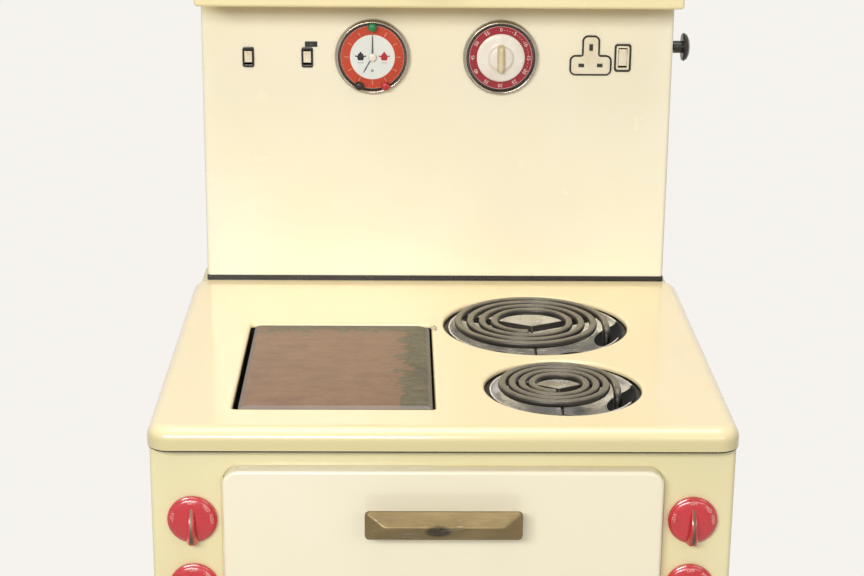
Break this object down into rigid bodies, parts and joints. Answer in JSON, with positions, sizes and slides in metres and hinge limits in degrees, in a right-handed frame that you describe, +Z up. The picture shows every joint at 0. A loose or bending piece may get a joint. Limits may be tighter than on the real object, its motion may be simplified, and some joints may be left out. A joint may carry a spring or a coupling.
{
  "type": "eye level grill cooker",
  "caption": "Free-standing electric cooker in cream enamel with hotplate, spiral rings, bottom-hinged oven door, drawer, and a tall back carrying clock, timer, socket and eye level grill.",
  "frame": {"origin": "on the floor under the middle of the bounding box", "axes": "+X to the right as seen from the front, +Y to the back, +Z up"},
  "size_m": [0.6086, 0.69, 1.4265],
  "materials": {
    "cream_enamel": "gloss vitreous enamel",
    "pale_enamel": "gloss vitreous enamel",
    "dark_enamel": "speckled vitreous enamel",
    "black_steel": "satin",
    "zinc_steel": "dull plated",
    "mineral_wool": "matt fibre",
    "heating_tube": "oxidised",
    "woven_seal": "woven",
    "bronze": "worn lacquer",
    "red_knob": "gloss",
    "black_plastic": "gloss",
    "cream_plastic": "gloss",
    "grey_plastic": "moulded phenolic",
    "rubber_seal": "satin",
    "plate_iron": "seasoned patina",
    "chromed": "polished",
    "ceramic": "glazed ceramic",
    "clock_face": "printed",
    "timer_face": "printed",
    "green_plastic": "gloss"
  },
  "bodies": {
    "cooker": {"plinth": "black_steel", "side_panels": "cream_enamel", "back_panel": "zinc_steel", "terminal_cover": "black_steel", "casing_screws": "zinc_steel", "front_frame": "cream_enamel", "oven_liner": "dark_enamel", "oven_insulation": "mineral_wool", "oven_element": "heating_tube", "shelf_runners": "chromed", "door_seal": "woven_seal", "hinge_brackets": "zinc_steel", "regulators": "grey_plastic", "hob_top": "cream_enamel", "sealing_strip": "rubber_seal", "hotplate": "plate_iron", "hotplate_tray": "black_steel", "rear_ring_bowl": "chromed", "front_ring_bowl": "chromed", "terminal_blocks": "ceramic", "splashback": "cream_enamel", "clock_case": "chromed", "clock_dial": "clock_face", "timer_case": "chromed", "timer_dial": "timer_face", "switch_bezels": "black_plastic", "socket_plate": "cream_plastic", "grill_casing": "cream_enamel", "grill_liner": "zinc_steel", "grill_element": "heating_tube"},
    "oven_door": {"door_outer": "pale_enamel", "door_inner": "dark_enamel", "door_insulation": "mineral_wool", "door_handle": "bronze", "door_hinges": "zinc_steel"},
    "drawer": {"drawer_front": "pale_enamel", "drawer_box": "zinc_steel", "drawer_handle": "bronze"},
    "shelf": {"oven_shelf": "chromed"},
    "rear_ring": {"rear_ring_coil": "heating_tube", "rear_ring_support": "zinc_steel"},
    "front_ring": {"front_ring_coil": "heating_tube", "front_ring_support": "zinc_steel"},
    "grill_pan_set": {"grill_pan": "dark_enamel", "grill_pan_handle": "black_plastic"},
    "rack": {"grill_rack": "chromed"},
    "knob_upper_left_body": {"knob_upper_left": "red_knob"},
    "knob_lower_left_body": {"knob_lower_left": "red_knob"},
    "knob_upper_right_body": {"knob_upper_right": "red_knob"},
    "knob_lower_right_body": {"knob_lower_right": "red_knob"},
    "grill_switch_body": {"grill_switch": "cream_plastic"},
    "light_switch_body": {"light_switch": "cream_plastic"},
    "socket_switch_body": {"socket_switch": "cream_plastic"},
    "minute_hand_body": {"minute_hand": "cream_plastic"},
    "hour_hand_body": {"hour_hand": "black_steel"},
    "auto_peg_body": {"auto_peg": "green_plastic"},
    "start_peg_body": {"start_peg": "black_plastic"},
    "finish_peg_body": {"finish_peg": "red_knob"},
    "timer_knob_body": {"timer_knob": "cream_plastic"},
    "side_knob_body": {"side_knob": "black_plastic"}
  },
  "joints": [
    {"name": "oven_door_hinge", "type": "hinge", "parent": "cooker", "child": "oven_door", "pos_m": [0, -0.303, 0.3893], "axis": [1, 0, 0], "range_deg": [0, 90]},
    {"name": "drawer_slide", "type": "slide", "parent": "cooker", "child": "drawer", "axis": [0, -1, 0], "range_m": [0, 0.3]},
    {"name": "shelf_slide", "type": "slide", "parent": "cooker", "child": "shelf", "axis": [0, -1, 0], "range_m": [0, 0.025]},
    {"name": "rear_ring_tilt", "type": "hinge", "parent": "cooker", "child": "rear_ring", "pos_m": [0.1943, 0, 0.876], "axis": [0, 1, 0], "range_deg": [0, 10]},
    {"name": "front_ring_tilt", "type": "hinge", "parent": "cooker", "child": "front_ring", "pos_m": [0.185, -0.208, 0.876], "axis": [0, 1, 0], "range_deg": [0, 10]},
    {"name": "knob_upper_left_turn", "type": "hinge", "parent": "cooker", "child": "knob_upper_left_body", "pos_m": [-0.2557, -0.2955, 0.8016], "axis": [0, 1, 0], "range_deg": [0, 270]},
    {"name": "knob_lower_left_turn", "type": "hinge", "parent": "cooker", "child": "knob_lower_left_body", "pos_m": [-0.2557, -0.2955, 0.7266], "axis": [0, 1, 0], "range_deg": [0, 270]},
    {"name": "knob_upper_right_turn", "type": "hinge", "parent": "cooker", "child": "knob_upper_right_body", "pos_m": [0.2557, -0.2955, 0.8016], "axis": [0, 1, 0], "range_deg": [0, 270]},
    {"name": "knob_lower_right_turn", "type": "hinge", "parent": "cooker", "child": "knob_lower_right_body", "pos_m": [0.2557, -0.2955, 0.7266], "axis": [0, 1, 0], "range_deg": [0, 270]},
    {"name": "grill_switch_rock", "type": "hinge", "parent": "cooker", "child": "grill_switch_body", "pos_m": [-0.2275, 0.196, 1.1852], "axis": [-1, 0, 0], "range_deg": [0, 14]},
    {"name": "light_switch_rock", "type": "hinge", "parent": "cooker", "child": "light_switch_body", "pos_m": [-0.1568, 0.196, 1.1852], "axis": [-1, 0, 0], "range_deg": [0, 14]},
    {"name": "socket_switch_rock", "type": "hinge", "parent": "cooker", "child": "socket_switch_body", "pos_m": [0.2229, 0.196, 1.1868], "axis": [-1, 0, 0], "range_deg": [0, 11]},
    {"name": "minute_hand_turn", "type": "hinge", "parent": "cooker", "child": "minute_hand_body", "pos_m": [-0.0785, 0.193, 1.1868], "axis": [0, 1, 0], "continuous": true},
    {"name": "hour_hand_turn", "type": "hinge", "parent": "cooker", "child": "hour_hand_body", "pos_m": [-0.0785, 0.193, 1.1868], "axis": [0, 1, 0], "continuous": true},
    {"name": "auto_peg_turn", "type": "hinge", "parent": "cooker", "child": "auto_peg_body", "pos_m": [-0.0785, 0.193, 1.224], "axis": [0, 1, 0], "range_deg": [0, 90]},
    {"name": "start_peg_turn", "type": "hinge", "parent": "cooker", "child": "start_peg_body", "pos_m": [-0.09416, 0.193, 1.15306], "axis": [0, 1, 0], "continuous": true},
    {"name": "finish_peg_turn", "type": "hinge", "parent": "cooker", "child": "finish_peg_body", "pos_m": [-0.06284, 0.193, 1.15306], "axis": [0, 1, 0], "continuous": true},
    {"name": "timer_knob_turn", "type": "hinge", "parent": "cooker", "child": "timer_knob_body", "pos_m": [0.0757, 0.193, 1.1868], "axis": [0, 1, 0], "range_deg": [0, 300]},
    {"name": "side_knob_push", "type": "slide", "parent": "cooker", "child": "side_knob_body", "axis": [-1, 0, 0], "range_m": [0, 0.006], "stiffness_N_per_m": 400},
    {"name": "grill_pan_slide", "type": "slide", "parent": "cooker", "child": "grill_pan_set", "axis": [0, -1, 0], "range_m": [0, 0.14]},
    {"name": "grill_rack_lift", "type": "slide", "parent": "grill_pan_set", "child": "rack", "axis": [0, 0, 1], "range_m": [0, 0.025]}
  ],
  "couplings": [
    {"joint": "hour_hand_turn", "follows": "minute_hand_turn", "ratio": 0.083333}
  ]
}
